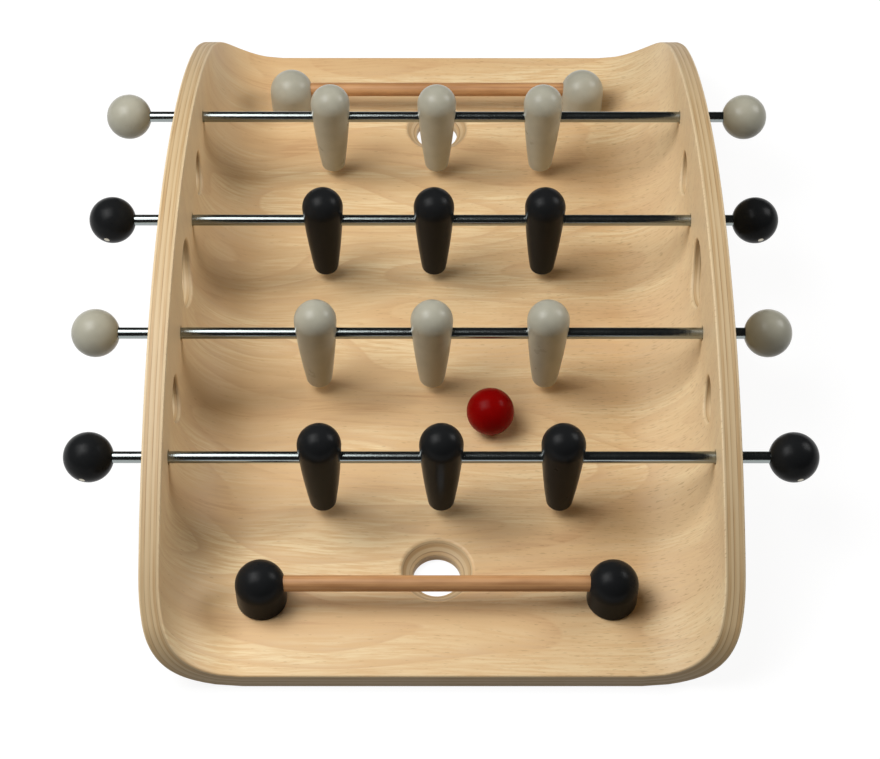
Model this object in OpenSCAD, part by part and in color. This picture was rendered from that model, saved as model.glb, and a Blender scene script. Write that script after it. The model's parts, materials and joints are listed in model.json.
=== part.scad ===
// Tabletop foosball game: a moulded plywood tray with bowed side walls, four sliding and turning
// rods with three peg players and two ball knobs each, a dowel goal at each end, and a loose ball.
// X runs across the field along the rods, Y runs from the front goal to the back goal, Z is up.
// The origin is the middle of the tray's underside.

/* [Tray] */
// Length of the tray from goal end to goal end
tray_l = 432; // [400:1:480]
// Width over the outsides of the two walls
tray_w = 290; // [270:1:330]
// Height of the walls at mid-length
tray_h = 103; // [95:1:120]
// Height at which the bowed top edge would reach the tray's ends
end_h = 24; // [20:0.5:32]
// Radius of the rounded end corners of the walls
corner_r = 36; // [15:1:40]
// Thickness of the moulded plywood
ply_t = 10; // [7:0.5:12]
// Outer radius of the bends between floor and walls
bend_r = 48; // [30:1:56]

/* [Wall ports] */
// Diameter of the middle port in each wall
port_mid_d = 36; // [20:1:40]
// Diameter of the two outer ports in each wall
port_end_d = 24; // [14:1:32]
// Height of the lowest point of every port above the underside
port_sill = 39; // [34:0.5:44]

/* [Rods] */
// Diameter of the steel rods
rod_d = 6; // [5:0.25:7]
// Spacing of the rods along the field
rod_pitch = 79; // [79:0.5:84]
// Height of the rod axes above the floor
rod_rise = 45.3; // [43:0.1:52]
// Side shift of each rod from the middle as it rests, from the back rod to the front rod
rod_shift = [-2.6, -4.1, -5.1, -0.3]; // [-12:0.1:12]
// Radial play of a rod in its wall holes
rod_play = 0.7; // [0.3:0.05:0.9]
// Radial running fit of players and knobs on a rod
rod_fit = 0.05; // [0.02:0.01:0.1]

/* [Knobs] */
// Diameter of the ball knobs
knob_d = 25; // [20:0.5:30]
// Free travel of a centred rod before a knob meets the wall
knob_gap = 16.7; // [8:0.1:24]
// Depth of a rod's end past the centre of its knob
knob_grip = 7; // [6:0.25:9]
// Diameter of the locking pin in a knob
pin_d = 3.4; // [2:0.1:4]
// Distance of the locking pin outward from the knob's centre
pin_x = 2.4; // [1:0.1:4]
// Turn of the pins below the front horizontal as they rest, from the back rod to the front rod
pin_turn = [130, 13, 130, 13]; // [0:1:180]

/* [Players] */
// Diameter of a player's head
head_d = 22; // [16:0.2:24]
// Height of a player's crown above the rod axis
crown_rise = 21.1; // [16:0.1:26]
// Depth of a player's foot below the rod axis
foot_drop = 38.9; // [32:0.1:39]
// Diameter of a player's foot
foot_d = 13.6; // [12:0.2:16]
// Radius of the rounded foot edge
foot_edge = 2.5; // [1:0.25:6]
// Radius of the slight bow of a player's side
side_r = 600; // [150:10:900]
// Spacing of the players along a rod
player_pitch = 60; // [45:0.5:66]

/* [Goals] */
// Distance from a tray end to the goal line
goal_inset = 43.5; // [36:0.5:48]
// Side shift of both goals from the tray's middle
goal_x = -2.5; // [-6:0.5:6]
// Distance between the axes of a goal's two posts
goal_w = 173; // [140:1:180]
// Diameter of a goal post
post_d = 25; // [20:0.5:28]
// Height of a goal post
post_h = 26; // [24:0.5:32]
// Diameter of the wooden crossbar
bar_d = 8; // [6:0.25:9]
// Height of the crossbar axis above the floor
bar_rise = 14.7; // [13:0.1:17]
// Distance of the crossbar's end from a post's axis
bar_stop = 5; // [3.5:0.25:7]
// Radial clearance of glued and screwed fits
fit_gap = 0.05; // [0.02:0.01:0.1]

/* [Goal holes] */
// Diameter of the hole that catches the ball
hole_d = 24; // [16:0.5:24.5]
// Diameter of the dish around the hole
dish_d = 37; // [32:0.5:44]
// Depth of the dish
dish_depth = 5.5; // [3:0.25:6.5]
// Distance from the goal line to the hole's centre
hole_ahead = 17.2; // [16:0.1:22]

/* [Post screws] */
// Shank diameter of the screws under the posts
screw_d = 3.5; // [2.5:0.1:4]
// Head diameter of the screws
screw_head_d = 7; // [6:0.25:9]
// Height of the tapered screw head
screw_head_h = 2.2; // [1.5:0.1:3]
// Length of a screw from head to tip
screw_l = 22; // [16:0.5:24]
// Depth of a screw head below the tray's underside
screw_sink = 0.4; // [0.2:0.1:1]

/* [Ball] */
// Diameter of the ball
ball_d = 25; // [20:0.5:26]
// Place of the ball across the field
ball_x = 25.5; // [20:0.5:30]
// Place of the ball along the field
ball_y = -65.7; // [-72:0.1:-62]
// Clearance under the resting ball
ball_gap = 0.1; // [0.05:0.01:0.3]

/* [Hidden] */
$fn = 96;
cut_over = 1;
half_l = tray_l / 2;
half_w = tray_w / 2;
rod_z = ply_t + rod_rise;
knob_r = knob_d / 2;
knob_x = half_w + knob_gap + knob_r;
rod_l = 2 * (knob_x + knob_grip);
goal_y = half_l - goal_inset;
hole_y = goal_y - hole_ahead;
bar_z = ply_t + bar_rise;
bar_l = goal_w - 2 * bar_stop;
post_r = post_d / 2;
pin_reach = sqrt(knob_r * knob_r - pin_x * pin_x) - screw_sink;

// Bowed top edge: an arc through the wall's top at mid-length and end_h at the ends
top_drop = tray_h - end_h;
top_r = (half_l * half_l + top_drop * top_drop) / (2 * top_drop);
top_z = tray_h - top_r;
// Centre of the corner circle that touches both the arc and the end, and the angle of its touch point
corner_y = half_l - corner_r;
corner_z = top_z + sqrt(pow(top_r - corner_r, 2) - corner_y * corner_y);
corner_a = atan2(corner_z - top_z, corner_y);

// The dish is part of a sphere through the dish's rim and the hole's rim
dish_up = (pow(dish_d / 2, 2) - pow(hole_d / 2, 2) - dish_depth * dish_depth) / (2 * dish_depth);
dish_r = sqrt(pow(dish_d / 2, 2) + dish_up * dish_up);

// A player's side is the wide arc that touches the head circle and the foot edge circle from outside.
// Its centre lies where circles of the two reaches about the head's and the foot edge's centres meet.
head_r = head_d / 2;
head_z = crown_rise - head_r;
foot_x = foot_d / 2 - foot_edge;
foot_z = foot_edge - foot_drop;
head_reach = side_r - head_r;
foot_reach = side_r - foot_edge;
span = sqrt(foot_x * foot_x + pow(head_z - foot_z, 2));
span_a = atan2(foot_z - head_z, foot_x);
head_turn = acos((head_reach * head_reach + span * span - foot_reach * foot_reach) / (2 * head_reach * span));
side_c = [0, head_z] + head_reach * [cos(span_a - head_turn), sin(span_a - head_turn)];
head_a = span_a - head_turn + 180;
foot_a = atan2(foot_z - side_c[1], foot_x - side_c[0]);

rows = [1, 2, 3, 4];
seats = [-1, 0, 1];
sides = [-1, 1];
seat_names = ["left", "middle", "right"];
side_names = ["left", "right"];
ends = [-1, 1];
end_names = ["front", "back"];
bore_x = [0, 90, 0];

function row_y(row) = (2.5 - row) * rod_pitch;
function row_x(row) = rod_shift[row - 1];
function team_colour(back) = back ? "#B5AFA3" : "#1C1C1E";
function player_name(row, seat) = str("player_", row, "_", seat_names[seat + 1]);
function knob_name(row, side) = str("knob_", row, "_", side_names[(side + 1) / 2]);
function post_name(end, side) = str("goal_post_", end_names[(end + 1) / 2], "_", side_names[(side + 1) / 2]);
function bar_name(end) = str("crossbar_", end_names[(end + 1) / 2]);

// Section across the field: flat floor, two quarter bends, two upright walls
module trough_section() {
    flat = half_w - bend_r;
    translate([-flat, 0]) square([2 * flat, ply_t]);
    for (side = sides) {
        translate([side * flat, bend_r])
            intersection() {
                difference() {
                    circle(bend_r);
                    circle(bend_r - ply_t);
                }
                translate([(side - 1) / 2 * bend_r, -bend_r]) square(bend_r);
            }
        translate([side * (half_w - ply_t / 2) - ply_t / 2, bend_r]) square([ply_t, tray_h]);
    }
}

// What is cut from one end corner of a wall to leave it round
module corner_waste(side) {
    run = 2 * corner_r;
    rise = run * tan(corner_a);
    difference() {
        polygon(side > 0 ? [[0, 0], [run, 0], [run, rise]] : [[0, 0], [-run, rise], [-run, 0]]);
        circle(corner_r);
    }
}

// Side view of the tray: bowed top, rounded corners, flat underside
module wall_outline() {
    difference() {
        intersection() {
            translate([0, top_z]) circle(top_r, $fn = 720);
            translate([-half_l, 0]) square([tray_l, tray_h + cut_over]);
        }
        for (side = sides)
            translate([side * corner_y, corner_z]) corner_waste(side);
    }
}

module across(length, diameter) {
    rotate([0, 90, 0]) cylinder(d = diameter, h = length, center = true);
}

module goal_hole() {
    translate([0, 0, -cut_over]) cylinder(d = hole_d, h = ply_t + 2 * cut_over);
    translate([0, 0, ply_t + dish_up]) sphere(dish_r);
}

// Countersunk shank with the given clearance all round, from the head's face upward
module screw_form(gap) {
    tip_h = screw_d;
    straight = screw_l - screw_head_h - tip_h;
    cylinder(d1 = screw_head_d + 2 * gap, d2 = screw_d + 2 * gap, h = screw_head_h);
    translate([0, 0, screw_head_h]) cylinder(d = screw_d + 2 * gap, h = straight);
    translate([0, 0, screw_head_h + straight]) cylinder(d1 = screw_d + 2 * gap, d2 = 1, h = tip_h + gap);
}

module at_posts() {
    for (end = ends, side = sides)
        translate([goal_x + side * goal_w / 2, end * goal_y, 0]) children();
}

module tray() {
    color("#D7B98C")
    difference() {
        intersection() {
            rotate([90, 0, 0]) linear_extrude(tray_l + 2 * cut_over, center = true) trough_section();
            rotate([90, 0, 90]) linear_extrude(tray_w + 2 * cut_over, center = true) wall_outline();
        }
        for (row = rows)
            translate([0, row_y(row), rod_z]) across(tray_w + 2 * cut_over, rod_d + 2 * rod_play);
        translate([0, 0, port_sill + port_mid_d / 2]) across(tray_w + 2 * cut_over, port_mid_d);
        for (end = ends) {
            translate([0, end * rod_pitch, port_sill + port_end_d / 2])
                across(tray_w + 2 * cut_over, port_end_d);
            translate([goal_x, end * hole_y, 0]) goal_hole();
        }
        at_posts() {
            translate([0, 0, screw_sink]) screw_form(fit_gap);
            translate([0, 0, -cut_over])
                cylinder(d = screw_head_d + 2 * fit_gap, h = screw_sink + cut_over);
        }
    }
}

// Countersunk wood screw with a cross recess in its head
module screw() {
    slot_w = screw_head_d / 8;
    slot_l = screw_head_d * 0.55;
    slot_h = screw_head_h * 0.6;
    difference() {
        screw_form(0);
        for (turn = [0, 90])
            rotate(turn) translate([-slot_l / 2, -slot_w / 2, -cut_over])
                cube([slot_l, slot_w, slot_h + cut_over]);
    }
}

module post_screws() {
    color("silver")
    at_posts() translate([0, 0, screw_sink]) screw();
}

// Domed post with a blind hole for the crossbar and a pilot hole for its screw
module goal_post(end, side) {
    color(team_colour(end > 0))
    difference() {
        translate([goal_x + side * goal_w / 2, end * goal_y, ply_t]) {
            cylinder(r = post_r, h = post_h - post_r);
            translate([0, 0, post_h - post_r]) sphere(post_r);
        }
        translate([goal_x, end * goal_y, bar_z]) across(bar_l + 2 * fit_gap, bar_d + 2 * fit_gap);
        at_posts() translate([0, 0, screw_sink]) screw_form(fit_gap);
        translate([goal_x - goal_w, end * goal_y - post_d, -post_d])
            cube([2 * goal_w, 2 * post_d, post_d + ply_t]);
    }
}

module crossbar(end) {
    color("#C89669")
    translate([goal_x, end * goal_y, bar_z]) across(bar_l, bar_d);
}

module rod(row) {
    color("#C4C8CC")
    translate([row_x(row), row_y(row), rod_z]) across(rod_l, rod_d);
}

// Ball knob bored for the rod's end, with a hole for its locking pin
module knob(row, side) {
    color(team_colour(row % 2 == 1))
    translate([row_x(row) + side * knob_x, row_y(row), rod_z])
        difference() {
            rotate(90) sphere(knob_r);
            translate([side * (knob_grip + rod_fit - knob_d / 2), 0, 0])
                across(knob_d, rod_d + 2 * rod_fit);
            translate([side * pin_x, 0, 0]) rotate([90 + pin_turn[row - 1], 0, 0])
                cylinder(d = pin_d + 2 * fit_gap, h = knob_d);
        }
}

module knob_pins(row) {
    pin_start = rod_d / 2 + rod_fit;
    color("#C4C8CC")
    for (side = sides)
        translate([row_x(row) + side * (knob_x + pin_x), row_y(row), rod_z])
            rotate([90 + pin_turn[row - 1], 0, 0])
                translate([0, 0, pin_start]) cylinder(d = pin_d, h = pin_reach - pin_start);
}

// Half section of a player: round crown, slightly bowed tapering side, small flat foot with a round edge
module player_section() {
    wide = 2 * side_r;
    difference() {
        union() {
            translate([0, head_z]) circle(head_r);
            translate([foot_x, foot_z]) circle(foot_edge);
            polygon([[0, -foot_drop], [foot_x, -foot_drop], [foot_x, foot_z], [0, head_z]]);
            translate(side_c)
                intersection() {
                    circle(side_r, $fn = 720);
                    polygon([[0, 0], wide * [cos(foot_a), sin(foot_a)], wide * [cos(head_a), sin(head_a)]]);
                }
        }
        translate([-wide, -wide]) square([wide, 2 * wide]);
    }
}

module player(row, seat) {
    color(team_colour(row % 2 == 1))
    translate([row_x(row) + seat * player_pitch, row_y(row), rod_z])
        difference() {
            rotate(90) rotate_extrude() player_section();
            across(2 * head_d, rod_d + 2 * rod_fit);
        }
}

module ball() {
    color("#A80F14")
    translate([ball_x, ball_y, ply_t + ball_gap + ball_d / 2]) sphere(d = ball_d);
}

tray();
post_screws();
ball();
for (end = ends) {
    crossbar(end);
    for (side = sides)
        goal_post(end, side);
}
for (row = rows) {
    rod(row);
    knob_pins(row);
    for (side = sides)
        knob(row, side);
    for (seat = seats)
        player(row, seat);
}
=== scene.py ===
"""Looks of a tabletop foosball game: bent plywood tray, turned and painted pegs, bright steel rods.

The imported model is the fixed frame. Every visible piece is a surface worked out here with numpy and
rides on the body of the node that it stands for. Lengths are in metres, in the frame's own axes:
X across the field along the rods, Y from the front goal to the back goal, Z up.
"""

import json
import math

import bmesh
import bpy
import numpy as np
from bpy.props import FloatProperty, FloatVectorProperty, PointerProperty
from mathutils import Matrix, Vector
from mathutils.geometry import delaunay_2d_cdt

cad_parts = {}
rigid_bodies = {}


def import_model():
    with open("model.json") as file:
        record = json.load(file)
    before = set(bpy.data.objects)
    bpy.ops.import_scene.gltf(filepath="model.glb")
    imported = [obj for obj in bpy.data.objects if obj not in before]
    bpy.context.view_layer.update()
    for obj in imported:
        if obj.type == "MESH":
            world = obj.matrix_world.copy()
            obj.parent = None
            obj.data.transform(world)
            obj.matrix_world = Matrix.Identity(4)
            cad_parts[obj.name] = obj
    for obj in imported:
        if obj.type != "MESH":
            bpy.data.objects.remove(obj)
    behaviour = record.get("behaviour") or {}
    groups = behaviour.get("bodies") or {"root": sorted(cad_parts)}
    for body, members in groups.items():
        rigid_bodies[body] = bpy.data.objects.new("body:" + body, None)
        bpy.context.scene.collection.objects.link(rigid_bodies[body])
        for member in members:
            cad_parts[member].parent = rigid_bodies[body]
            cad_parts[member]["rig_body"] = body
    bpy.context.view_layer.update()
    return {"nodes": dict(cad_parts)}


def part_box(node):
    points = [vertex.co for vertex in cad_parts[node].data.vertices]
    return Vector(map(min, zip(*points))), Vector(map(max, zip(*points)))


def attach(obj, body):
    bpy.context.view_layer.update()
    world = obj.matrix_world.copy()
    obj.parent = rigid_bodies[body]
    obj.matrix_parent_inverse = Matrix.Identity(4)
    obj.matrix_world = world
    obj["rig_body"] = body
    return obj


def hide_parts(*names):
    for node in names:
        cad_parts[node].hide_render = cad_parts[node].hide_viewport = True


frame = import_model()

bl_info = {
    "name": "Tabletop foosball game",
    "version": (1, 0, 0),
    "blender": (4, 5, 0),
    "location": "View3D > Sidebar > Foosball",
    "description": "Dresses the foosball game's frame with turned, painted and plywood pieces",
    "category": "Add Mesh",
}

MM = 0.001
ROWS = (1, 2, 3, 4)
SEATS = ("left", "middle", "right")
SIDES = ("left", "right")
ENDS = ("front", "back")

# Radius of a knob's ball, and of the bores for the rod in knobs and players
KNOB = 12.5 * MM
BORE = 3.05 * MM
# Ports through the walls: height of the middle, radius, points round the rim and radius of its easing
MIDDLE_PORT = (57 * MM, 18 * MM, 96, 1.4 * MM)
OUTER_PORT = (51 * MM, 12 * MM, 72, 1.2 * MM)
# Way from a crossbar's line to the middle of the goal hole before it
HOLE_AHEAD = 17.2 * MM

# Roughness and IOR of each paint, matched to its highlights, and the roughness of the zinc plating
GREY_GLOSS = (0.28, 1.3)
BLACK_GLOSS = (0.28, 1.15)
RED_GLOSS = (0.24, 1.11)
ZINC_ROUGH = 0.4

# Lamps: name, place, width and height, the setting that holds the power and the lamp's share of it
LAMPS = (
    ("key", (-0.46, -0.06, 0.86), (0.75, 0.8), "key", 0.72),
    ("key_core", (-0.47, -0.04, 0.85), (0.5, 0.3), "key", 0.28),
    ("side", (0.91, 0.27, 0.68), (0.45, 0.5), "side", 1.0),
)
LAMP_AIM = (0, 0, 0.03)
# Camera: place, then yaw, pitch and roll in degrees
CAMERA_AT = (-0.00276, -0.6906, 0.8555)
CAMERA_TURN = (-0.17, 52.2, 0.15)
# Half width of the floor, and the gap under the tray that keeps the two faces apart
FLOOR_HALF = 6.0
FLOOR_GAP = 0.3 * MM


def linear(code):
    """sRGB hex to linear RGBA: the usual piecewise curve, channel by channel."""
    srgb = np.array([int(code[i:i + 2], 16) for i in (0, 2, 4)]) / 255
    low = srgb / 12.92
    high = ((srgb + 0.055) / 1.055) ** 2.4
    return (*np.where(srgb <= 0.04045, low, high).tolist(), 1.0)


def length(name, description, default):
    return FloatProperty(name=name, description=description, default=default, unit="LENGTH", precision=5)


def colour(name, description, code):
    return FloatVectorProperty(
        name=name, description=description, default=linear(code), size=4, subtype="COLOR", min=0, max=1)


class TraySettings(bpy.types.PropertyGroup):
    """Sizes and colours of the bent plywood tray."""

    ply: length("Plywood thickness", "Thickness of the moulded plywood", 10 * MM)
    bend: length("Bend radius", "Outer radius of the bends between floor and walls", 48 * MM)
    tall: length("Wall height", "Height of the walls at mid-length", 103 * MM)
    corner: length("Corner radius", "Radius of the rounded end corners of the walls", 36 * MM)
    end_rise: length("End height", "Height at which the bowed top would reach the tray's ends", 24 * MM)
    rod_bore: length("Rod hole radius", "Radius of the rod holes in the walls", 3.7 * MM)
    ease: length("Edge easing", "Radius of the sanded edges", 0.9 * MM)
    pale: colour("Pale wood", "Early wood of the face veneer", "ECD2A4")
    warm: colour("Warm wood", "Late wood of the face veneer", "DDB886")
    # The wall colour is partly paler wood and partly painted light: it stands for the direct neutral light
    # that falls on the walls
    wall: colour("Wall wood", "Paler wood and painted light up the walls", "E9D5AF")
    rose: colour("Rosy wood", "Rosy patches and growth lines", "C8986A")
    pore: colour("Pores", "Short dark vessel lines", "94693C")
    ply_pale: colour("Pale plies", "Paler plies on the cut edges", "CDB38A")
    ply_warm: colour("Warm plies", "Warmer plies on the cut edges", "B99668")
    glue: colour("Glue lines", "Thin lines between the plies", "84603A")


class PlayerSettings(bpy.types.PropertyGroup):
    """Sizes of the turned players."""

    head: length("Head radius", "Radius of the round head", 11 * MM)
    crown: length("Crown height", "Height of the crown above the rod's axis", 21.1 * MM)
    foot: length("Foot radius", "Radius of the foot", 6.8 * MM)
    drop: length("Foot depth", "Depth of the foot below the rod's axis", 38.9 * MM)
    edge: length("Foot edge", "Radius of the rounded foot edge", 2.5 * MM)
    bow: length("Side bow", "Radius of the slight bow of the side", 600 * MM)


class TeamSettings(bpy.types.PropertyGroup):
    """Colours of the painted pieces."""

    grey: colour("Grey team", "Satin grey paint", "AAA797")
    black: colour("Black team", "Satin black paint", "1C1D1E")
    red: colour("Ball", "Satin red paint", "7C0504")
    dowel: colour("Crossbars", "Bare dowel wood", "BB8B5C")


class MetalSettings(bpy.types.PropertyGroup):
    """Look of the steel pieces."""

    rod: colour("Rods", "Bright ground steel", "989F9E")
    rod_rough: FloatProperty(name="Rod roughness", description="Roughness of the rods", default=0.18)
    zinc: colour("Pins and screws", "Zinc-plated steel", "B9B3A4")


class StageSettings(bpy.types.PropertyGroup):
    """Floor, light and camera."""

    floor: colour("Floor", "Light that the plain floor throws back", "A0A0A0")
    key: FloatProperty(
        name="Key light", description="Power of the soft light on the left and its brighter core",
        default=10.1, unit="POWER")
    side: FloatProperty(
        name="Side light", description="Power of the smaller light on the right", default=5.2, unit="POWER")
    world: FloatProperty(name="Room light", description="Strength of the even light all round", default=0.02)
    lens: FloatProperty(
        name="Lens", description="Focal length on a 36 mm sensor", default=81.41, unit="CAMERA")


class FoosballSettings(bpy.types.PropertyGroup):
    """All settings of the game."""

    tray: PointerProperty(type=TraySettings)
    player: PointerProperty(type=PlayerSettings)
    team: PointerProperty(type=TeamSettings)
    metal: PointerProperty(type=MetalSettings)
    stage: PointerProperty(type=StageSettings)


# Surfaces

def centre(node):
    """Middle of a CAD node's box."""
    low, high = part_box(node)
    return np.array((low + high) / 2)


def arc(cx, cy, radius, start, end, count):
    """Points of a circle's arc from start to end, in degrees: centre + radius * (cos, sin)."""
    turn = np.radians(np.linspace(start, end, count))
    return np.stack([cx + radius * np.cos(turn), cy + radius * np.sin(turn)], axis=1)


def circle(cx, cy, radius, count):
    """Points of a whole circle, evenly spaced, the first not repeated at the end."""
    return arc(cx, cy, radius, 0, 360 - 360 / count, count)


def grid_faces(rows, columns):
    """Quads of a grid of rows x columns points whose columns close on themselves."""
    r, c = np.meshgrid(np.arange(rows - 1), np.arange(columns), indexing="ij")
    near = r * columns
    step = (c + 1) % columns
    quads = [near + c, near + step, near + columns + step, near + columns + c]
    return np.stack(quads, axis=-1).reshape(-1, 4)


def lathe(profile, sides, origin, axis, side):
    """Turned surface: origin + height * axis + radius * (cos * side + sin * (axis x side))."""
    turn = np.arange(sides) * 2 * math.pi / sides
    axis, side = np.asarray(axis, float), np.asarray(side, float)
    ring = np.cos(turn)[:, None] * side + np.sin(turn)[:, None] * np.cross(axis, side)
    points = origin + profile[:, 1, None, None] * axis + profile[:, 0, None, None] * ring
    return points.reshape(-1, 3), grid_faces(len(profile), sides)


def inside(points, loops):
    """Even-odd test: a point is inside where a ray to the right crosses the loops an odd number of times."""
    starts = np.vstack(loops)
    ends = np.vstack([np.roll(loop, -1, axis=0) for loop in loops])
    px, py = points[:, 0, None], points[:, 1, None]
    spans = (starts[:, 1] > py) != (ends[:, 1] > py)
    rise = np.where(ends[:, 1] == starts[:, 1], 1e-12, ends[:, 1] - starts[:, 1])
    cross = starts[:, 0] + (py - starts[:, 1]) * (ends[:, 0] - starts[:, 0]) / rise
    return (spans & (px < cross)).sum(axis=1) % 2 == 1


def pierced(loops, loose, clear):
    """Triangles of the flat region between an outer loop and its holes, with loose points in between.

    Loose points nearer than clear to a loop are left out, so that no sliver lies along an edge.
    """
    rim = np.vstack(loops)
    loose = loose[inside(loose, loops)]
    apart = np.hypot(loose[:, None, 0] - rim[:, 0], loose[:, None, 1] - rim[:, 1])
    points = np.vstack([rim, loose[(apart > clear).all(axis=1)]])
    edges, first = [], 0
    for loop in loops:
        index = first + np.arange(len(loop))
        edges += np.stack([index, np.roll(index, -1)], axis=1).tolist()
        first += len(loop)
    made = delaunay_2d_cdt(points.tolist(), edges, [], 0, 1e-9)
    flat = np.array(made[0])
    faces = np.array(made[2])
    return flat, faces[inside(flat[faces].mean(axis=1), loops)]


def add_piece(name, parts, node, material, attribute=None):
    """One closed mesh from several (points, faces) parts, welded, riding on its node's body."""
    points = np.vstack([p for p, _ in parts])
    faces, first = [], 0
    for p, f in parts:
        faces += (np.asarray(f) + first).tolist()
        first += len(p)
    mesh = bpy.data.meshes.new(name)
    mesh.from_pydata(points.tolist(), [], faces)
    if attribute is not None:
        layer = mesh.attributes.new(attribute[0], "FLOAT_VECTOR", "POINT")
        layer.data.foreach_set("vector", np.asarray(attribute[1], np.float32).ravel())
    work = bmesh.new()
    work.from_mesh(mesh)
    bmesh.ops.remove_doubles(work, verts=work.verts, dist=2e-6)
    bmesh.ops.recalc_face_normals(work, faces=work.faces)
    work.to_mesh(mesh)
    work.free()
    mesh.shade_smooth()
    piece = bpy.data.objects.new(name, mesh)
    bpy.context.scene.collection.objects.link(piece)
    mesh.materials.append(material)
    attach(piece, frame["nodes"][node]["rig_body"])
    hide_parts(node)
    return piece


# Materials

def add(tree, kind, sockets=None, stops=(), **settings):
    """Adds one shader node, sets its options and colour stops, and links or sets its inputs."""
    made = tree.nodes.new("ShaderNode" + kind)
    for key, value in settings.items():
        setattr(made, key, value)
    for index, (position, value) in enumerate(stops):
        band = made.color_ramp.elements
        element = band[index] if index < len(band) else band.new(position)
        element.position, element.color = position, value
    for key, value in (sockets or {}).items():
        if isinstance(value, bpy.types.NodeSocket):
            tree.links.new(value, made.inputs[key])
        else:
            made.inputs[key].default_value = value
    return made


def new_material(name):
    """An empty node material with its Principled shader and output."""
    made = bpy.data.materials.new(name)
    made.use_nodes = True
    tree = made.node_tree
    tree.nodes.clear()
    shader = add(tree, "BsdfPrincipled")
    add(tree, "OutputMaterial", {"Surface": shader.outputs[0]})
    return made, tree, shader


def plywood(settings):
    """Moulded rotary-cut plywood under clear satin lacquer: soft bands and arches along it, dark pores.

    Reads the attribute "ply": place along the section, along the tray and through the thickness, so the grain
    runs over the bends as the veneer does, and the cut plies with their glue lines show on every edge.
    """
    made, tree, shader = new_material("Clear-lacquered plywood")
    names = ("pale", "warm", "wall", "rose", "pore", "ply_pale", "ply_warm", "glue")
    pale, warm, wall, rose, pore, ply_pale, ply_warm, glue = (
        tuple(getattr(settings, name)) for name in names)
    place = add(tree, "Attribute", attribute_name="ply", attribute_type="GEOMETRY").outputs["Vector"]
    split = add(tree, "SeparateXYZ", {0: place}).outputs
    # Slow waves push the grain sideways by up to 5 mm, over 160 mm along it and 50 mm across
    at = add(tree, "Mapping", {"Vector": place, "Scale": (6, 20, 0)})
    wave = add(tree, "TexNoise", {"Vector": at.outputs[0], "Scale": 1, "Detail": 1})
    push = add(tree, "MapRange", {
        "Value": wave.outputs[0], "From Min": 0.3, "From Max": 0.7, "To Min": -0.005, "To Max": 0.005})
    bent = add(tree, "CombineXYZ", {"Y": push.outputs[0]})
    grain = add(tree, "VectorMath", {0: place, 1: bent.outputs[0]}, operation="ADD").outputs[0]
    # Broad bands of paler and warmer wood, 25 mm across the grain and 250 mm along it
    at = add(tree, "Mapping", {"Vector": grain, "Scale": (4, 40, 0)})
    band = add(tree, "TexNoise", {"Vector": at.outputs[0], "Scale": 1, "Detail": 3})
    tone = add(tree, "ValToRGB", {0: band.outputs[0]}, [(0.33, warm), (0.6, pale)])
    # Rosy patches, 35 mm across the grain and 200 mm along it
    at = add(tree, "Mapping", {"Vector": grain, "Location": (3, 1, 0), "Scale": (5, 28, 0)})
    patch = add(tree, "TexNoise", {"Vector": at.outputs[0], "Scale": 1, "Detail": 4, "Roughness": 0.6})
    blush = add(tree, "MapRange", {
        "Value": patch.outputs[0], "From Min": 0.5, "From Max": 0.66, "To Max": 0.58})
    wood = add(tree, "Mix", {0: blush.outputs[0], 6: tone.outputs[0], 7: rose}, data_type="RGBA")
    # Arches where the knife left the growth rings: contours of a slow hill, 12 mm apart, sharp on one side
    at = add(tree, "Mapping", {"Vector": grain, "Location": (0, 7, 0), "Scale": (4.5, 17, 0)})
    hill = add(tree, "TexNoise", {"Vector": at.outputs[0], "Scale": 1, "Detail": 1, "Roughness": 0.3})
    level = add(tree, "Math", {0: hill.outputs[0], 1: 10}, operation="MULTIPLY")
    ring = add(tree, "Math", {0: level.outputs[0]}, operation="FRACT")
    arch = add(tree, "ValToRGB", {0: ring.outputs[0]}, [
        (0, (0.5, 0.5, 0.5, 1)), (0.35, (0, 0, 0, 1)), (0.95, (0, 0, 0, 1)), (1, (0.5, 0.5, 0.5, 1))])
    wood = add(tree, "Mix", {0: arch.outputs[0], 6: wood.outputs[2], 7: rose}, data_type="RGBA")
    # Fine streaks, 1.7 mm across the grain and 25 mm along it, with finer ones inside
    at = add(tree, "Mapping", {"Vector": grain, "Scale": (40, 600, 0)})
    streak = add(tree, "TexNoise", {"Vector": at.outputs[0], "Scale": 1, "Detail": 4, "Roughness": 0.62})
    faint = add(tree, "MapRange", {
        "Value": streak.outputs[0], "From Min": 0.4, "From Max": 0.58, "To Min": 0.95, "To Max": 0})
    wood = add(tree, "Mix", {0: faint.outputs[0], 6: wood.outputs[2], 7: warm}, data_type="RGBA")
    # Paler, less saturated colour from the bends up the walls, 24 mm sooner on the right than on the left:
    # partly straighter, paler wood and partly painted light, standing for the direct neutral light on the
    # walls, more on the lit right side than on the shaded left
    out = add(tree, "Math", {0: split["X"], 1: 0.012}, operation="ADD")
    out = add(tree, "Math", {0: out.outputs[0]}, operation="ABSOLUTE")
    rise = add(tree, "MapRange", {
        "Value": out.outputs[0], "From Min": 0.107, "From Max": 0.175, "To Max": 0.6})
    wood = add(tree, "Mix", {0: rise.outputs[0], 6: wood.outputs[2], 7: wall}, data_type="RGBA")
    # Pores: dark lines 5 mm long, drawn 0.6 mm wide so that they show, thicker towards the right
    at = add(tree, "Mapping", {"Vector": grain, "Scale": (190, 1500, 0)})
    fleck = add(tree, "TexNoise", {"Vector": at.outputs[0], "Scale": 1, "Detail": 1})
    area = add(tree, "MapRange", {"Value": split["X"], "From Min": -0.06, "From Max": 0.12, "To Max": 0.08})
    dense = add(tree, "Math", {0: fleck.outputs[0], 1: area.outputs[0]}, operation="ADD")
    mark = add(tree, "MapRange", {
        "Value": dense.outputs[0], "From Min": 0.69, "From Max": 0.76, "To Max": 0.34})
    wood = add(tree, "Mix", {0: mark.outputs[0], 6: wood.outputs[2], 7: pore}, data_type="RGBA")
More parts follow.
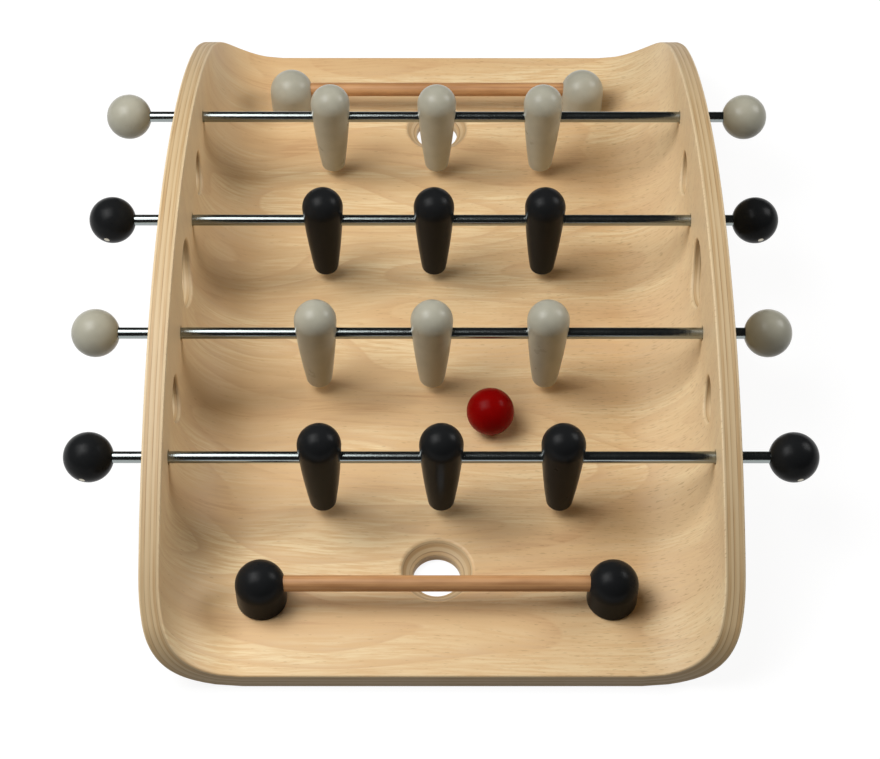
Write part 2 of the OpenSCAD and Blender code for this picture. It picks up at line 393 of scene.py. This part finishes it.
    # Cut edges: seven plies, paler and warmer in turn, glue lines drawn 0.3 mm wide so that they show
    share = add(tree, "Math", {0: split["Z"], 1: 1 / settings.ply}, operation="MULTIPLY")
    plies = add(tree, "ValToRGB", {0: share.outputs[0]}, [
        (0, ply_pale), (0.14, ply_pale), (0.15, glue), (0.18, ply_warm), (0.30, ply_warm), (0.31, ply_pale),
        (0.42, ply_pale), (0.43, glue), (0.46, ply_warm), (0.58, ply_pale), (0.69, ply_pale), (0.70, glue),
        (0.73, ply_warm), (0.85, ply_warm), (0.86, glue), (0.89, ply_pale)])
    # Each ply's own streaks: 30 mm long and 0.8 mm deep, so no line stays even along the edge
    at = add(tree, "Mapping", {"Vector": place, "Scale": (33, 33, 1200)})
    uneven = add(tree, "TexNoise", {"Vector": at.outputs[0], "Scale": 1, "Detail": 2})
    even = add(tree, "MapRange", {
        "Value": uneven.outputs[0], "From Min": 0.35, "From Max": 0.65, "To Min": 0.1, "To Max": 0.65})
    cut = add(tree, "Mix", {0: even.outputs[0], 6: plies.outputs[0], 7: ply_pale}, data_type="RGBA")
    edge = add(tree, "ValToRGB", {0: share.outputs[0]}, [
        (0.05, (0, 0, 0, 1)), (0.09, (1, 1, 1, 1)), (0.91, (1, 1, 1, 1)), (0.95, (0, 0, 0, 1))])
    wood = add(tree, "Mix", {0: edge.outputs[0], 6: wood.outputs[2], 7: cut.outputs[2]}, data_type="RGBA")
    rough = add(tree, "MapRange", {"Value": streak.outputs[0], "To Min": 0.44, "To Max": 0.6})
    relief = add(tree, "Math", {0: streak.outputs[0], 1: mark.outputs[0]}, operation="SUBTRACT")
    bump = add(tree, "Bump", {"Height": relief.outputs[0], "Strength": 0.12, "Distance": 0.0003})
    tree.links.new(wood.outputs[2], shader.inputs["Base Color"])
    tree.links.new(rough.outputs[0], shader.inputs["Roughness"])
    tree.links.new(bump.outputs[0], shader.inputs["Normal"])
    shader.inputs["IOR"].default_value = 1.5
    return made


def dowel_wood(code):
    """Bare turned dowel: straight grain along X, soft blotches and fine darker lines, hardly any gloss."""
    made, tree, shader = new_material("Bare dowel wood")
    place = add(tree, "TexCoord").outputs["Object"]
    # Grain lines 1.2 mm apart round the dowel, drawn out over 90 mm
    at = add(tree, "Mapping", {"Vector": place, "Scale": (11, 800, 800)})
    grain = add(tree, "TexNoise", {"Vector": at.outputs[0], "Scale": 1, "Detail": 3})
    # Blotches 25 mm long and 5 mm wide
    at = add(tree, "Mapping", {"Vector": place, "Scale": (40, 200, 200)})
    blotch = add(tree, "TexNoise", {"Vector": at.outputs[0], "Scale": 1, "Detail": 2})
    both = add(tree, "Math", {0: grain.outputs[0], 1: blotch.outputs[0]}, operation="ADD")
    mean = add(tree, "Math", {0: both.outputs[0], 1: 0.5}, operation="MULTIPLY")
    base = np.array(code[:3])
    tone = add(tree, "ValToRGB", {0: mean.outputs[0]}, [
        (0.38, (*(base * (0.8, 0.72, 0.64)), 1)), (0.6, (*(base * 1.14), 1))])
    bump = add(tree, "Bump", {"Height": grain.outputs[0], "Strength": 0.15, "Distance": 0.0002})
    tree.links.new(tone.outputs[0], shader.inputs["Base Color"])
    tree.links.new(bump.outputs[0], shader.inputs["Normal"])
    shader.inputs["Roughness"].default_value = 0.5
    shader.inputs["IOR"].default_value = 1.5
    return made


def satin_paint(name, code, roughness, ior):
    """Satin paint sprayed on turned wood: even colour, faint orange peel and a soft gloss."""
    made, tree, shader = new_material(name)
    place = add(tree, "TexCoord").outputs["Object"]
    # Peel of the sprayed paint, cells about 0.9 mm
    peel = add(tree, "TexNoise", {"Vector": place, "Scale": 1100, "Detail": 2})
    # Slow unevenness of the coat, patches about 9 mm
    patch = add(tree, "TexNoise", {"Vector": place, "Scale": 110, "Detail": 3})
    base = np.array(code[:3])
    tone = add(tree, "ValToRGB", {0: patch.outputs[0]}, [
        (0.3, (*(base * 0.94), 1)), (0.7, (*(base * 1.05), 1))])
    gloss = add(tree, "MapRange", {
        "Value": patch.outputs[0], "To Min": roughness - 0.015, "To Max": roughness + 0.015})
    bump = add(tree, "Bump", {"Height": peel.outputs[0], "Strength": 0.05, "Distance": 0.0002})
    tree.links.new(tone.outputs[0], shader.inputs["Base Color"])
    tree.links.new(gloss.outputs[0], shader.inputs["Roughness"])
    tree.links.new(bump.outputs[0], shader.inputs["Normal"])
    shader.inputs["IOR"].default_value = ior
    return made


def bright_steel(name, code, roughness):
    """Bright ground or plated steel: near-mirror, with fine grinding marks that draw its reflections out."""
    made, tree, shader = new_material(name)
    place = add(tree, "TexCoord").outputs["Object"]
    # Grinding marks 0.4 mm apart along X, coarser than real ones so that they show
    at = add(tree, "Mapping", {"Vector": place, "Scale": (2500, 60, 60)})
    line = add(tree, "TexNoise", {"Vector": at.outputs[0], "Scale": 1, "Detail": 2})
    rough = add(tree, "MapRange", {
        "Value": line.outputs[0], "To Min": roughness * 0.6, "To Max": roughness * 1.4})
    bump = add(tree, "Bump", {"Height": line.outputs[0], "Strength": 0.1, "Distance": 0.0002})
    tree.links.new(rough.outputs[0], shader.inputs["Roughness"])
    tree.links.new(bump.outputs[0], shader.inputs["Normal"])
    shader.inputs["Base Color"].default_value = code
    shader.inputs["Metallic"].default_value = 1.0
    return made


def paint_of(row_or_end, settings):
    """Paint and record slot of a row (odd grey, even black) or of an end (front black, back grey)."""
    grey = row_or_end == "back" or row_or_end in (1, 3)
    name = "Satin grey paint" if grey else "Satin black paint"
    found = bpy.data.materials.get(name)
    code = tuple(settings.team.grey if grey else settings.team.black)
    made = found or satin_paint(name, code, *(GREY_GLOSS if grey else BLACK_GLOSS))
    return made, "grey_lacquer" if grey else "black_lacquer"


# Pieces

class TrayShape:
    """The tray's bent shell as one map: s along the section, y along the tray, depth d from the inside."""

    def __init__(self, settings):
        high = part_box("tray")[1]
        self.ply, self.bend, self.corner = settings.ply, settings.bend, settings.corner
        self.half_w, self.half_l, self.tall = high.x, high.y, settings.tall
        self.flat = self.half_w - self.bend
        self.inner = self.bend - self.ply
        self.mid = self.bend - self.ply / 2
        self.wall = self.flat + self.mid * math.pi / 2
        drop = self.tall - settings.end_rise
        self.top_r = (self.half_l ** 2 + drop ** 2) / (2 * drop)
        self.top_z = self.tall - self.top_r
        self.corner_y = self.half_l - self.corner
        self.corner_z = self.top_z + math.sqrt((self.top_r - self.corner) ** 2 - self.corner_y ** 2)
        self.corner_a = math.atan2(self.corner_z - self.top_z, self.corner_y)

    def point(self, s, y, d):
        """Straight floor, quarter bend of radius inner + d, then straight wall, alike on both sides."""
        turn = np.clip((np.abs(s) - self.flat) / self.mid, 0, math.pi / 2)
        x = np.sign(s) * (np.minimum(np.abs(s), self.flat) + (self.inner + d) * np.sin(turn))
        z = self.bend - (self.inner + d) * np.cos(turn) + np.maximum(np.abs(s) - self.wall, 0)
        return np.stack(np.broadcast_arrays(x, y, z), axis=-1)

    def along(self, z, d):
        """Place along the section of a point on the bend or wall at height z and depth d."""
        turn = np.arccos(np.clip((self.bend - z) / (self.inner + d), 0, 1))
        return self.flat + self.mid * turn + np.maximum(z - self.bend, 0)

    def wall_edge(self, d):
        """Outline of a wall in (y, z) from the front floor edge over the bowed top to the back floor edge."""
        low = self.ply - d
        start = math.asin(max((low - self.corner_z) / self.corner, 0))
        line = max(self.corner_z - low, 0)
        run = line + self.corner * (self.corner_a - start)
        at = np.linspace(0, run, 24)
        turn = start + np.maximum(at - line, 0) / self.corner
        end = np.stack([
            self.corner_y + self.corner * np.cos(turn),
            self.corner_z + self.corner * np.sin(turn) - np.maximum(line - at, 0)], axis=1)
        reach = self.corner_y + self.corner * math.cos(self.corner_a)
        y = np.linspace(-reach, reach, 92)[1:-1]
        top = np.stack([y, self.top_z + np.sqrt(self.top_r ** 2 - y ** 2)], axis=1)
        return np.vstack([end * (-1, 1), top, end[::-1]])

    def rim(self, d, inset):
        """Closed outer loop in (s, y) at depth d, moved inwards by inset."""
        edge = self.wall_edge(d)
        right = np.stack([self.along(edge[:, 1], d), edge[:, 0]], axis=1)
        floor = np.linspace(1, -1, 50)[1:-1] * self.flat
        back = np.stack([floor, np.full_like(floor, edge[-1, 0])], axis=1)
        loop = np.vstack([right, back, right[::-1] * (-1, 1), back * (-1, -1)])
        tangent = np.roll(loop, -1, axis=0) - np.roll(loop, 1, axis=0)
        tangent /= np.linalg.norm(tangent, axis=1, keepdims=True)
        return loop + inset * np.stack([-tangent[:, 1], tangent[:, 0]], axis=1)

    def wall_hole(self, side, y, z, radius, d, count):
        """Circle of a hole bored along X through one wall, in (s, y) at depth d."""
        ring = circle(y, z, radius, count)
        return np.stack([side * self.along(ring[:, 1], d), ring[:, 0]], axis=1)


def rounded(depth, ease, count=5):
    """Section of a sanded edge through a sheet: (offset into the sheet, depth) round both arrises."""
    near = arc(ease, ease, ease, 270, 180, count)
    far = arc(ease, depth - ease, ease, 180, 90, count)
    middle = np.linspace(ease, depth - ease, 9)[1:-1]
    return np.vstack([near, np.stack([np.zeros_like(middle), middle], axis=1), far])


def build_tray(settings):
    """Inner and outer skins of the shell, joined by a sanded band round the rim and round every hole."""
    shape = TrayShape(settings)
    parts, places = [], []

    def keep(s_y, d, faces):
        flat = np.asarray(s_y).reshape(-1, 2)
        depth = np.broadcast_to(np.asarray(d, float), flat.shape[:1])
        parts.append((shape.point(flat[:, 0], flat[:, 1], depth), faces))
        places.append(np.column_stack([flat, depth]))

    def band(loops, depths):
        count = loops[0].shape[0]
        keep(np.vstack(loops), np.repeat(depths, count), grid_faces(len(loops), count))
        return loops[0], loops[-1]

    edge = rounded(shape.ply, settings.ease)
    skins = [[a] for a in band([shape.rim(d, o) for o, d in edge], edge[:, 1])]
    rod_z = centre("rod_1")[2]
    bored = [(centre(f"rod_{row}")[1], rod_z, settings.rod_bore, 40, 0.5 * MM) for row in ROWS]
    pitch = bored[0][0] - bored[1][0]
    bored += [(0, *MIDDLE_PORT)]
    bored += [(end * pitch, *OUTER_PORT) for end in (-1, 1)]
    for y, z, radius, count, ease in bored:
        section = rounded(shape.ply, ease)
        for side in (-1, 1):
            loops = [shape.wall_hole(side, y, z, radius + o, d, count) for o, d in section]
            ends = band(loops, section[:, 1])
            skins[0].append(ends[0])
            skins[1].append(ends[1])
    goal_x = centre("crossbar_front")[0]
    for end in ENDS:
        goal_y = centre(f"crossbar_{end}")[1]
        hole = (goal_x, goal_y - math.copysign(HOLE_AHEAD, goal_y))
        ends = band(*goal_hole(hole, shape.ply))
        skins[0].append(ends[0])
        skins[1].append(ends[1])
        for side in SIDES:
            post = centre(f"goal_post_{end}_{side}")
            skins[1].append(band(*screw_sink(post[:2], shape.ply))[0])
    reach = shape.along(shape.tall, 0)
    floor = np.arange(-12, 13) / 12 * shape.flat * 0.99
    bends = shape.flat + np.linspace(0, 1, 30) * (shape.wall - shape.flat)
    walls = np.linspace(shape.wall, reach, 9)[1:]
    s = np.concatenate([-walls[::-1], -bends[::-1], floor, bends, walls])
    y = np.linspace(-shape.half_l, shape.half_l, 57)
    loose = np.stack(np.meshgrid(s, y, indexing="ij"), axis=-1).reshape(-1, 2)
    for loops, depth in zip(skins, (0, shape.ply)):
        flat, faces = pierced(loops, loose, 1.8 * MM)
        keep(flat, depth, faces)
    piece = add_piece("tray", parts, "tray", plywood(settings), ("ply", np.vstack(places)))
    soft = piece.modifiers.new("Even shading", "WEIGHTED_NORMAL")
    soft.weight = 90
    return piece


def goal_hole(at, ply):
    """Dished hole: rim rounded over, spherical dish, then a straight hole with an eased lower edge."""
    hole, dish, depth, ease = 12 * MM, 18.5 * MM, 5.5 * MM, 0.6 * MM
    up = (dish ** 2 - hole ** 2 - depth ** 2) / (2 * depth)
    ball = math.hypot(dish, up)
    radii = np.linspace(dish - 0.4 * MM, hole + 0.3 * MM, 14)
    bowl = np.stack([radii, np.sqrt(ball ** 2 - radii ** 2) - up], axis=1)
    rim = np.array([[dish + 0.9 * MM, 0], [dish + 0.35 * MM, 0.06 * MM]])
    lip = np.array([[hole, bowl[-1, 1] + 0.6 * MM], [hole, ply - ease]])
    foot = arc(hole + ease, ply - ease, ease, 180, 90, 5)[1:]
    section = np.vstack([rim, bowl, lip, foot])
    turns = 96
    loops = [np.asarray(at) + circle(0, 0, r, turns) for r in section[:, 0]]
    return loops, section[:, 1]


def screw_sink(at, ply):
    """Countersunk recess in the underside, closed where the screw's shank fills it."""
    section = np.array([[3.8, 0], [3.56, 0.25], [3.55, 0.4], [1.8, 2.6], [1.8, 4.0], [0.02, 4.0]]) * MM
    turns = 32
    loops = [np.asarray(at) + circle(0, 0, r, turns) for r in section[:, 0]]
    return loops, ply - section[:, 1]


def build_rod(row, material):
    """Straight round bar with a small chamfer at each end."""
    low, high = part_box(f"rod_{row}")
    radius, half = (high.z - low.z) / 2, (high.x - low.x) / 2
    chamfer = 0.5 * MM
    along = np.linspace(-half + chamfer, half - chamfer, 40)
    body = np.stack([np.full_like(along, radius), along], axis=1)
    profile = np.vstack([
        [[0, -half], [radius - chamfer, -half]], body, [[radius - chamfer, half], [0, half]]])
    part = lathe(profile, 40, centre(f"rod_{row}"), (1, 0, 0), (0, 0, 1))
    return add_piece(f"rod_{row}", [part], f"rod_{row}", material)


def player_profile(size):
    """Half section of a player: crown arc, wide side arc, foot edge arc, flat foot.

    The side arc touches the crown's and the foot edge's circles from outside, so its centre lies
    bow - head from the one centre and bow - edge from the other.
    """
    top = size.crown - size.head
    foot = np.array([size.foot - size.edge, size.edge - size.drop])
    near, far, span = size.bow - size.head, size.bow - size.edge, math.hypot(foot[0], foot[1] - top)
    apart = math.acos((near ** 2 + span ** 2 - far ** 2) / (2 * near * span))
    way = math.atan2(foot[1] - top, foot[0]) - apart
    middle = np.array([near * math.cos(way), top + near * math.sin(way)])
    low = math.degrees(math.atan2(foot[1] - middle[1], foot[0] - middle[0]))
    crown = arc(0, top, size.head, 90, math.degrees(way) + 180, 30)
    sole = arc(foot[0], foot[1], size.edge, low, -90, 16)
    return crown, sole, middle


def build_player(row, seat, size, material):
    """Turned peg bored across for its rod: lathe above and below, a pierced belt round the bore.

    A point is origin + radius * (cos * front + sin * right) + height * up.
    """
    node = f"player_{row}_{seat}"
    origin = np.array([centre(node)[0], *centre(f"rod_{row}")[1:]])
    right, front, up = np.array([[1.0, 0, 0], [0, -1, 0], [0, 0, 1]])
    crown, sole, middle = player_profile(size)
    belt, sides, unit = 6.4 * MM, 72, 10 * MM

    def radius(z):
        return middle[0] + np.sqrt(size.bow ** 2 - (z - middle[1]) ** 2)

    def side_rows(top, bottom, count):
        z = np.linspace(top, bottom, count)
        return np.stack([radius(z), z], axis=1)

    upper = np.vstack([crown, side_rows(crown[-1, 1], belt, 3)[1:]])
    lower = np.vstack([side_rows(-belt, sole[0, 1], 14), sole[1:], [[0, -size.drop]]])
    parts = [lathe(p, sides, origin, up, front) for p in (upper, lower)]
    turn = np.linspace(0, 2 * math.pi, sides + 1)
    rise = np.linspace(-belt, belt, 9)
    edge = np.vstack([
        np.stack([turn * unit, np.full_like(turn, -belt)], axis=1),
        np.stack([np.full(7, turn[-1] * unit), rise[1:-1]], axis=1),
        np.stack([turn[::-1] * unit, np.full_like(turn, belt)], axis=1),
        np.stack([np.zeros(7), rise[-2:0:-1]], axis=1)])
    ease, turns = 0.4 * MM, 48

    def ring(side, r):
        loop = circle(0, 0, r, turns)
        across = np.arcsin(np.clip(loop[:, 0] / radius(loop[:, 1]), -1, 1))
        angle = math.pi / 2 + across if side > 0 else 1.5 * math.pi - across
        return np.stack([angle * unit, loop[:, 1]], axis=1)

    def place(flat, inset=0.0):
        angle, z = flat[:, 0, None] / unit, flat[:, 1, None]
        x = radius(z) * np.sin(angle)
        return origin + (x - np.sign(x) * inset) * right + radius(z) * np.cos(angle) * front + z * up

    loose = np.stack(np.meshgrid(turn, rise, indexing="ij"), axis=-1).reshape(-1, 2) * (unit, 1)
    flat, faces = pierced([edge, ring(1, BORE + ease), ring(-1, BORE + ease)], loose, 0.45 * MM)
    parts.append((place(flat), faces))
    lip = np.linspace(0, math.pi / 2, 5)
    steps = [(BORE + ease * (1 - math.sin(a)), ease * (1 - math.cos(a))) for a in lip]
    tunnel = [place(ring(1, r), inset) for r, inset in steps]
    tunnel += [place(ring(-1, r), inset) for r, inset in steps[::-1]]
    parts.append((np.vstack(tunnel), grid_faces(len(tunnel), turns)))
    return add_piece(node, parts, node, material)


def knob_middle(row, side):
    """Centre of a knob's ball: one radius in from the knob's far end, on the rod's axis."""
    low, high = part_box(f"knob_{row}_{side}")
    far = low.x + KNOB if side == "left" else high.x - KNOB
    return np.array([far, *centre(f"rod_{row}")[1:]])


def build_knob(row, side, material):
    """Turned ball: sphere from the eased bore rim round to the far pole, with a blind bore for the rod."""
    node = f"knob_{row}_{side}"
    ease, grip = 0.5 * MM, 7.05 * MM
    mouth = math.degrees(math.asin((BORE + ease) / KNOB))
    skin = arc(0, 0, KNOB, -90 + mouth, 90, 56)
    lip = arc(BORE + ease, skin[0, 1] + ease, ease, 180, 255, 5)
    profile = np.vstack([[[0, grip], [BORE, grip], [BORE, 0]], lip, skin])
    sign = -1 if side == "left" else 1
    part = lathe(profile, 72, knob_middle(row, side), (sign, 0, 0), (0, 0, 1))
    return add_piece(node, [part], node, material)


def build_pins(row, material):
    """Two short pins, one in each knob, from the rod's face out to the knob's face.

    Rings about the pin's line: along it a point of the end lies at sqrt(face^2 - across^2), so that the end
    follows the ball, a little proud in the middle and a little sunk at its rim.
    """
    node = f"knob_pins_{row}"
    shift, radius, turns = 2.4 * MM, 1.6 * MM, 32
    start, proud, sunk = 3.1 * MM, 0.07 * MM, 0.12 * MM
    tilt = math.radians(130 if row % 2 else 13)
    way = np.array([0, -math.cos(tilt), -math.sin(tilt)])
    wide, tall = np.array([1.0, 0, 0]), np.array([0, -math.sin(tilt), math.cos(tilt)])
    share = np.concatenate([np.ones(1), np.linspace(1, 0, 9)])
    turn = np.arange(turns) * 2 * math.pi / turns
    parts = []
    for side, sign in zip(SIDES, (-1, 1)):
        across = share[:, None] * radius * np.cos(turn)
        beside = share[:, None] * radius * np.sin(turn)
        face = KNOB + proud - sunk * share[:, None] ** 6
        along = np.sqrt(face ** 2 - (sign * shift + across) ** 2 - beside ** 2)
        along[0] = start
        spread = np.stack([along, sign * shift + across, beside], axis=-1)
        points = knob_middle(row, side) + spread @ np.stack([way, wide, tall])
        cap = np.append(points[0], points[0].mean(axis=0, keepdims=True), axis=0)
        index = np.arange(turns)
        fan = np.stack([index, np.full(turns, turns), np.roll(index, -1)], axis=1)
        parts += [(points.reshape(-1, 3), grid_faces(len(share), turns)), (cap, fan)]
    return add_piece(node, parts, node, material)


def build_post(end, side, material):
    """Turned post: eased foot, straight shaft, hemispherical top."""
    node = f"goal_post_{end}_{side}"
    low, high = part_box(node)
    radius, tall, ease = (high.x - low.x) / 2, high.z - low.z, 1.2 * MM
    origin = np.array([(low.x + high.x) / 2, (low.y + high.y) / 2, low.z])
    foot = arc(radius - ease, ease, ease, -90, 0, 6)
    shaft = np.stack([np.full(5, radius), np.linspace(ease, tall - radius, 7)[1:-1]], axis=1)
    dome = arc(0, tall - radius, radius, 0, 90, 30)
    part = lathe(np.vstack([[[0, 0]], foot, shaft, dome]), 72, origin, (0, 0, 1), (0, -1, 0))
    return add_piece(node, [part], node, material)


def build_crossbar(end, material):
    """Straight dowel between the posts."""
    node = f"crossbar_{end}"
    low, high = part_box(node)
    radius, half = (high.z - low.z) / 2, (high.x - low.x) / 2
    along = np.linspace(-half, half, 30)
    body = np.stack([np.full_like(along, radius), along], axis=1)
    part = lathe(np.vstack([[[0, -half]], body, [[0, half]]]), 40, centre(node), (1, 0, 0), (0, 0, 1))
    return add_piece(node, [part], node, material)


def build_screws(material):
    """Countersunk screws seen from below: flat head with a cross recess, tapered neck and shank."""
    node = "post_screws"
    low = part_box(node)[0]
    head, neck, tip, turns = 3.5 * MM, 1.75 * MM, 0.5 * MM, 48
    cone, shank, end_z, deep = 2.2 * MM, 18.5 * MM, 22 * MM, 1.3 * MM
    # The recess: half width and half length of its arms
    w, l = 0.45 * MM, 1.95 * MM
    cross = np.array([
        [l, -w], [l, w], [w, w], [w, l], [-w, l], [-w, w],
        [-l, w], [-l, -w], [-w, -w], [-w, -l], [w, -l], [w, -w]])
    turn = np.arange(turns) * 2 * math.pi / turns
    outer = np.stack([np.cos(turn), np.sin(turn)], axis=1) * head
    none = np.zeros((0, 2))
    flat, faces = pierced([outer, cross], none, 0.0)
    base, cap = pierced([cross], none, 0.0)
    wall = np.vstack([np.column_stack([cross, np.full(len(cross), h)]) for h in (0, deep)])
    profile = np.array([[head, 0], [neck, cone], [neck, shank], [tip, end_z], [0, end_z]])
    parts = []
    for end in ENDS:
        for side in SIDES:
            origin = np.array([*centre(f"goal_post_{end}_{side}")[:2], low.z])
            parts.append((origin + np.column_stack([flat, np.zeros(len(flat))]), faces))
            parts.append((origin + wall, grid_faces(2, len(cross))))
            parts.append((origin + np.column_stack([base, np.full(len(base), deep)]), cap))
            parts.append(lathe(profile, turns, origin, (0, 0, 1), (1, 0, 0)))
    return add_piece(node, parts, node, material)


def build_ball(material):
    """Ball as a turned circle, its poles along X."""
    low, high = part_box("ball")
    radius = (high.z - low.z) / 2
    part = lathe(arc(0, 0, radius, -90, 90, 56), 72, centre("ball"), (1, 0, 0), (0, 0, 1))
    return add_piece("ball", [part], "ball", material)


class FOOSBALL_OT_tray(bpy.types.Operator):
    """Builds the bent plywood tray with its ports, rod holes and goal holes"""

    bl_idname = "foosball.tray"
    bl_label = "Tray"

    def execute(self, context):
        build_tray(context.scene.foosball.tray)
        return {"FINISHED"}


class FOOSBALL_OT_rods(bpy.types.Operator):
    """Builds the four steel rods"""

    bl_idname = "foosball.rods"
    bl_label = "Rods"

    def execute(self, context):
        metal = context.scene.foosball.metal
        steel = bright_steel("Bright ground steel", tuple(metal.rod), metal.rod_rough)
        for row in ROWS:
            build_rod(row, steel)
        return {"FINISHED"}


class FOOSBALL_OT_players(bpy.types.Operator):
    """Builds the twelve turned players"""

    bl_idname = "foosball.players"
    bl_label = "Players"

    def execute(self, context):
        for row in ROWS:
            material, slot = paint_of(row, context.scene.foosball)
            for seat in SEATS:
                build_player(row, seat, context.scene.foosball.player, material)
        return {"FINISHED"}


class FOOSBALL_OT_knobs(bpy.types.Operator):
    """Builds the eight ball knobs and their pins"""

    bl_idname = "foosball.knobs"
    bl_label = "Knobs"

    def execute(self, context):
        zinc = bright_steel("Zinc-plated steel", tuple(context.scene.foosball.metal.zinc), ZINC_ROUGH)
        for row in ROWS:
            material, slot = paint_of(row, context.scene.foosball)
            for side in SIDES:
                build_knob(row, side, material)
            build_pins(row, zinc)
        return {"FINISHED"}


class FOOSBALL_OT_goals(bpy.types.Operator):
    """Builds the goal posts, crossbars and the screws under them"""

    bl_idname = "foosball.goals"
    bl_label = "Goals"

    def execute(self, context):
        bare = dowel_wood(tuple(context.scene.foosball.team.dowel))
        for end in ENDS:
            material, slot = paint_of(end, context.scene.foosball)
            for side in SIDES:
                build_post(end, side, material)
            build_crossbar(end, bare)
        build_screws(bpy.data.materials["Zinc-plated steel"])
        return {"FINISHED"}


class FOOSBALL_OT_ball(bpy.types.Operator):
    """Builds the loose ball"""

    bl_idname = "foosball.ball"
    bl_label = "Ball"

    def execute(self, context):
        red = tuple(context.scene.foosball.team.red)
        build_ball(satin_paint("Satin red paint", red, *RED_GLOSS))
        return {"FINISHED"}


def add_light(name, place, size, power):
    """Soft white rectangular light at place, turned to face the game."""
    lamp = bpy.data.lights.new(name, "AREA")
    lamp.shape, lamp.size, lamp.size_y = "RECTANGLE", size[0], size[1]
    lamp.energy = power
    made = bpy.data.objects.new(name, lamp)
    bpy.context.scene.collection.objects.link(made)
    made.location = place
    made.rotation_mode = "QUATERNION"
    made.rotation_quaternion = (Vector(LAMP_AIM) - Vector(place)).to_track_quat("-Z", "Y")


def floor_material(code):
    """Plain floor that looks white to the camera and in reflections, and still takes the game's shadow."""
    made = new_material("White studio floor")[0]
    tree = made.node_tree
    tree.nodes.clear()
    path = add(tree, "LightPath").outputs
    seen = add(tree, "Math", {0: path["Is Camera Ray"], 1: path["Is Glossy Ray"]}, operation="ADD")
    seen = add(tree, "Math", {0: seen.outputs[0], 1: path["Is Transmission Ray"]}, operation="ADD")
    plain = add(tree, "BsdfDiffuse", {"Color": code})
    shade = add(tree, "BsdfDiffuse", {"Color": (0.15, 0.15, 0.15, 1)})
    glow = add(tree, "Emission", {"Color": (1, 1, 1, 1), "Strength": 0.9})
    white = add(tree, "AddShader", {0: shade.outputs[0], 1: glow.outputs[0]})
    both = add(tree, "MixShader", {0: seen.outputs[0], 1: plain.outputs[0], 2: white.outputs[0]})
    add(tree, "OutputMaterial", {"Surface": both.outputs[0]})
    return made


class FOOSBALL_OT_stage(bpy.types.Operator):
    """Sets the floor, the lights and the camera"""

    bl_idname = "foosball.stage"
    bl_label = "Stage"

    def execute(self, context):
        settings = context.scene.foosball.stage
        mesh = bpy.data.meshes.new("floor")
        corners = np.array([[-1, -1], [1, -1], [1, 1], [-1, 1]]) * FLOOR_HALF
        mesh.from_pydata(np.column_stack([corners, np.full(4, -FLOOR_GAP)]).tolist(), [], [(0, 1, 2, 3)])
        floor = bpy.data.objects.new("floor", mesh)
        context.scene.collection.objects.link(floor)
        mesh.materials.append(floor_material(tuple(settings.floor)))
        for name, place, size, power, share in LAMPS:
            add_light(name, place, size, share * getattr(settings, power))
        world = bpy.data.worlds.new("Even room light")
        context.scene.world = world
        world.use_nodes = True
        back = next(n for n in world.node_tree.nodes if n.type == "BACKGROUND")
        back.inputs["Color"].default_value = (1, 1, 1, 1)
        back.inputs["Strength"].default_value = settings.world
        self.set_camera(context, settings)
        context.scene.view_settings.view_transform = "Standard"
        return {"FINISHED"}

    def set_camera(self, context, settings):
        """Camera from yaw, pitch and roll: right, up and forward axes as the columns of its matrix."""
        yaw, pitch, roll = np.radians(CAMERA_TURN)
        right = np.array([math.cos(yaw), math.sin(yaw), 0])
        ahead = np.array([-math.sin(yaw), math.cos(yaw), 0])
        forward = math.cos(pitch) * ahead - math.sin(pitch) * np.array([0, 0, 1])
        up = math.sin(pitch) * ahead + math.cos(pitch) * np.array([0, 0, 1])
        side = math.cos(roll) * right + math.sin(roll) * up
        top = math.cos(roll) * up - math.sin(roll) * right
        lens = bpy.data.cameras.new("camera")
        lens.sensor_width, lens.sensor_fit, lens.lens = 36.0, "HORIZONTAL", settings.lens
        lens.clip_start, lens.clip_end = 0.05, 50.0
        camera = bpy.data.objects.new("camera", lens)
        context.scene.collection.objects.link(camera)
        camera.matrix_world = Matrix.Translation(CAMERA_AT) @ Matrix(
            np.column_stack([side, top, -forward]).tolist()).to_4x4()
        context.scene.camera = camera


class FOOSBALL_PT_panel(bpy.types.Panel):
    """Lists the steps that dress the game"""

    bl_idname = "FOOSBALL_PT_panel"
    bl_label = "Foosball"
    bl_space_type = "VIEW_3D"
    bl_region_type = "UI"
    bl_category = "Foosball"

    def draw(self, context):
        for group in ("tray", "player", "team", "metal", "stage"):
            settings = getattr(context.scene.foosball, group)
            box = self.layout.box()
            for name in settings.__annotations__:
                box.prop(settings, name)
        for step in STEPS:
            self.layout.operator(step.bl_idname)


STEPS = (
    FOOSBALL_OT_tray, FOOSBALL_OT_rods, FOOSBALL_OT_players, FOOSBALL_OT_knobs,
    FOOSBALL_OT_goals, FOOSBALL_OT_ball, FOOSBALL_OT_stage,
)
CLASSES = (
    TraySettings, PlayerSettings, TeamSettings, MetalSettings, StageSettings, FoosballSettings, *STEPS,
    FOOSBALL_PT_panel,
)


def register():
    for item in CLASSES:
        bpy.utils.register_class(item)
    bpy.types.Scene.foosball = PointerProperty(type=FoosballSettings)


def unregister():
    del bpy.types.Scene.foosball
    for item in reversed(CLASSES):
        bpy.utils.unregister_class(item)


def main():
    register()
    bpy.ops.foosball.tray()
    bpy.ops.foosball.rods()
    bpy.ops.foosball.players()
    bpy.ops.foosball.knobs()
    bpy.ops.foosball.goals()
    bpy.ops.foosball.ball()
    bpy.ops.foosball.stage()


if __name__ == "__main__":
    main()
